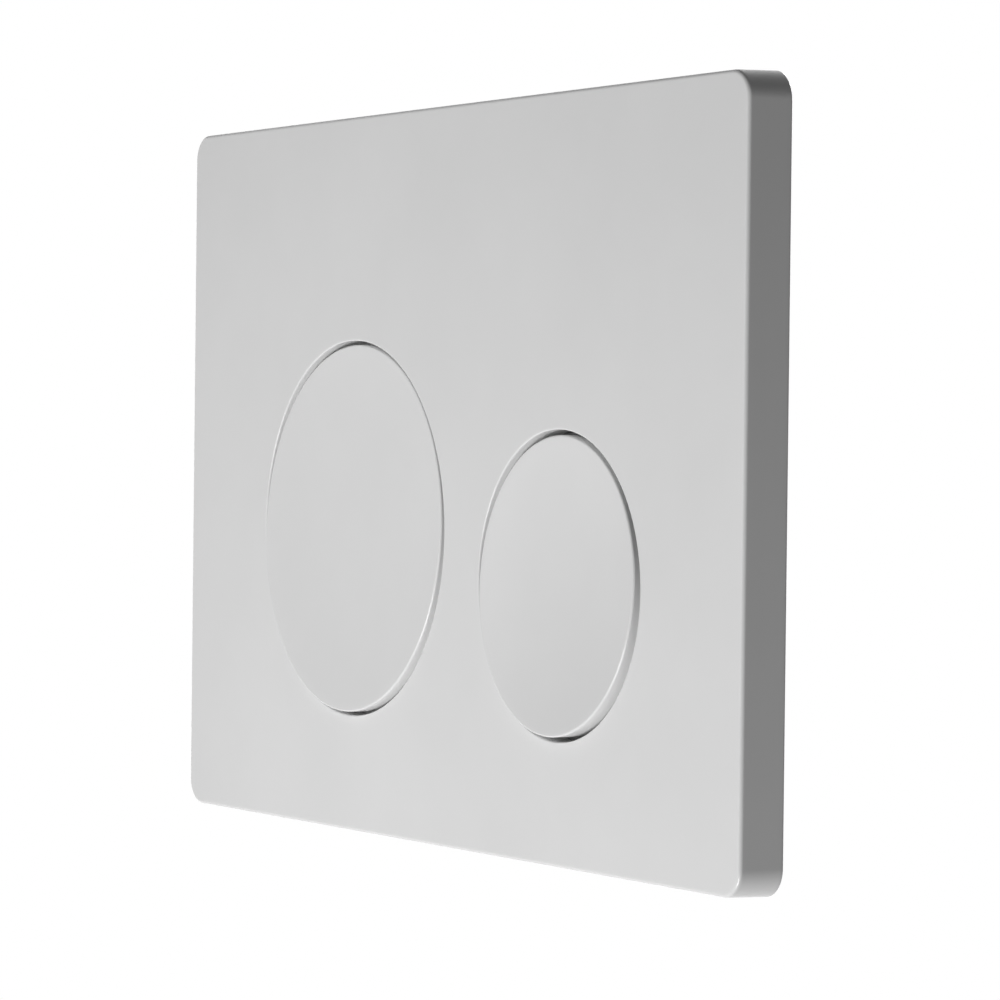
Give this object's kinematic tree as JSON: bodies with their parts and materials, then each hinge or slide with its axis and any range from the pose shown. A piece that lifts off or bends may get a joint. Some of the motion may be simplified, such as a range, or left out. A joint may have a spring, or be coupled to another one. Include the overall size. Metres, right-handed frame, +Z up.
{
  "type": "flush button plate",
  "caption": "Rounded rectangular wall plate with a large and a small round push button that work a cistern's flush rods through rockers on a mounting frame.",
  "frame": {"origin": "middle of the plate's outline, on the plane of the wall that its rim stands on", "axes": "+X to the right as seen from the room, +Z up, +Y into the wall"},
  "size_m": [0.246, 0.0608, 0.164],
  "materials": {
    "gloss_white": "polished moulded white",
    "frame_plastic": "fine moulded grain",
    "lever_plastic": "moulded",
    "adjuster_plastic": "moulded",
    "rod_plastic": "threaded, moulded",
    "steel": "zinc plated",
    "rubber": "matt"
  },
  "bodies": {
    "plate": {"cover_plate": "gloss_white", "mounting_frame": "frame_plastic", "full_flush_rocker_pin": "steel", "half_flush_rocker_pin": "steel", "full_flush_spring": "steel", "half_flush_spring": "steel", "full_flush_buffer": "rubber", "half_flush_buffer": "rubber", "fixing_screws": "steel", "screw_washers": "steel"},
    "full_button": {"full_flush_button": "gloss_white"},
    "full_rocker": {"full_flush_rocker": "lever_plastic"},
    "full_rod": {"full_flush_adjuster": "adjuster_plastic", "full_flush_lock_nut": "adjuster_plastic", "full_flush_push_rod": "rod_plastic"},
    "half_button": {"half_flush_button": "gloss_white"},
    "half_rocker": {"half_flush_rocker": "lever_plastic"},
    "half_rod": {"half_flush_adjuster": "adjuster_plastic", "half_flush_lock_nut": "adjuster_plastic", "half_flush_push_rod": "rod_plastic"}
  },
  "joints": [
    {"name": "full_flush_press", "type": "slide", "parent": "plate", "child": "full_button", "axis": [0, 1, 0], "range_m": [0, 0.0045], "stiffness_N_per_m": 600, "springref_m": -0.01},
    {"name": "full_rocker_turn", "type": "hinge", "parent": "plate", "child": "full_rocker", "pos_m": [-0.0857, 0.0076, -0.01245], "axis": [0, 0, 1], "range_deg": [0, 5.62], "deforming": ["full_flush_spring"]},
    {"name": "full_rod_slide", "type": "slide", "parent": "plate", "child": "full_rod", "axis": [0, 1, 0], "range_m": [0, 0.00598]},
    {"name": "half_flush_press", "type": "slide", "parent": "plate", "child": "half_button", "axis": [0, 1, 0], "range_m": [0, 0.0045], "stiffness_N_per_m": 600, "springref_m": -0.01},
    {"name": "half_rocker_turn", "type": "hinge", "parent": "plate", "child": "half_rocker", "pos_m": [0.0857, 0.0076, -0.02245], "axis": [0, 0, -1], "range_deg": [0, 7.58], "deforming": ["half_flush_spring"]},
    {"name": "half_rod_slide", "type": "slide", "parent": "plate", "child": "half_rod", "axis": [0, 1, 0], "range_m": [0, 0.00806]}
  ],
  "couplings": [
    {"joint": "full_rocker_turn", "follows": "full_flush_press", "rad_per_m": 21.786},
    {"joint": "full_rod_slide", "follows": "full_flush_press", "ratio": 1.3268},
    {"joint": "half_rocker_turn", "follows": "half_flush_press", "rad_per_m": 29.412},
    {"joint": "half_rod_slide", "follows": "half_flush_press", "ratio": 1.7912}
  ]
}
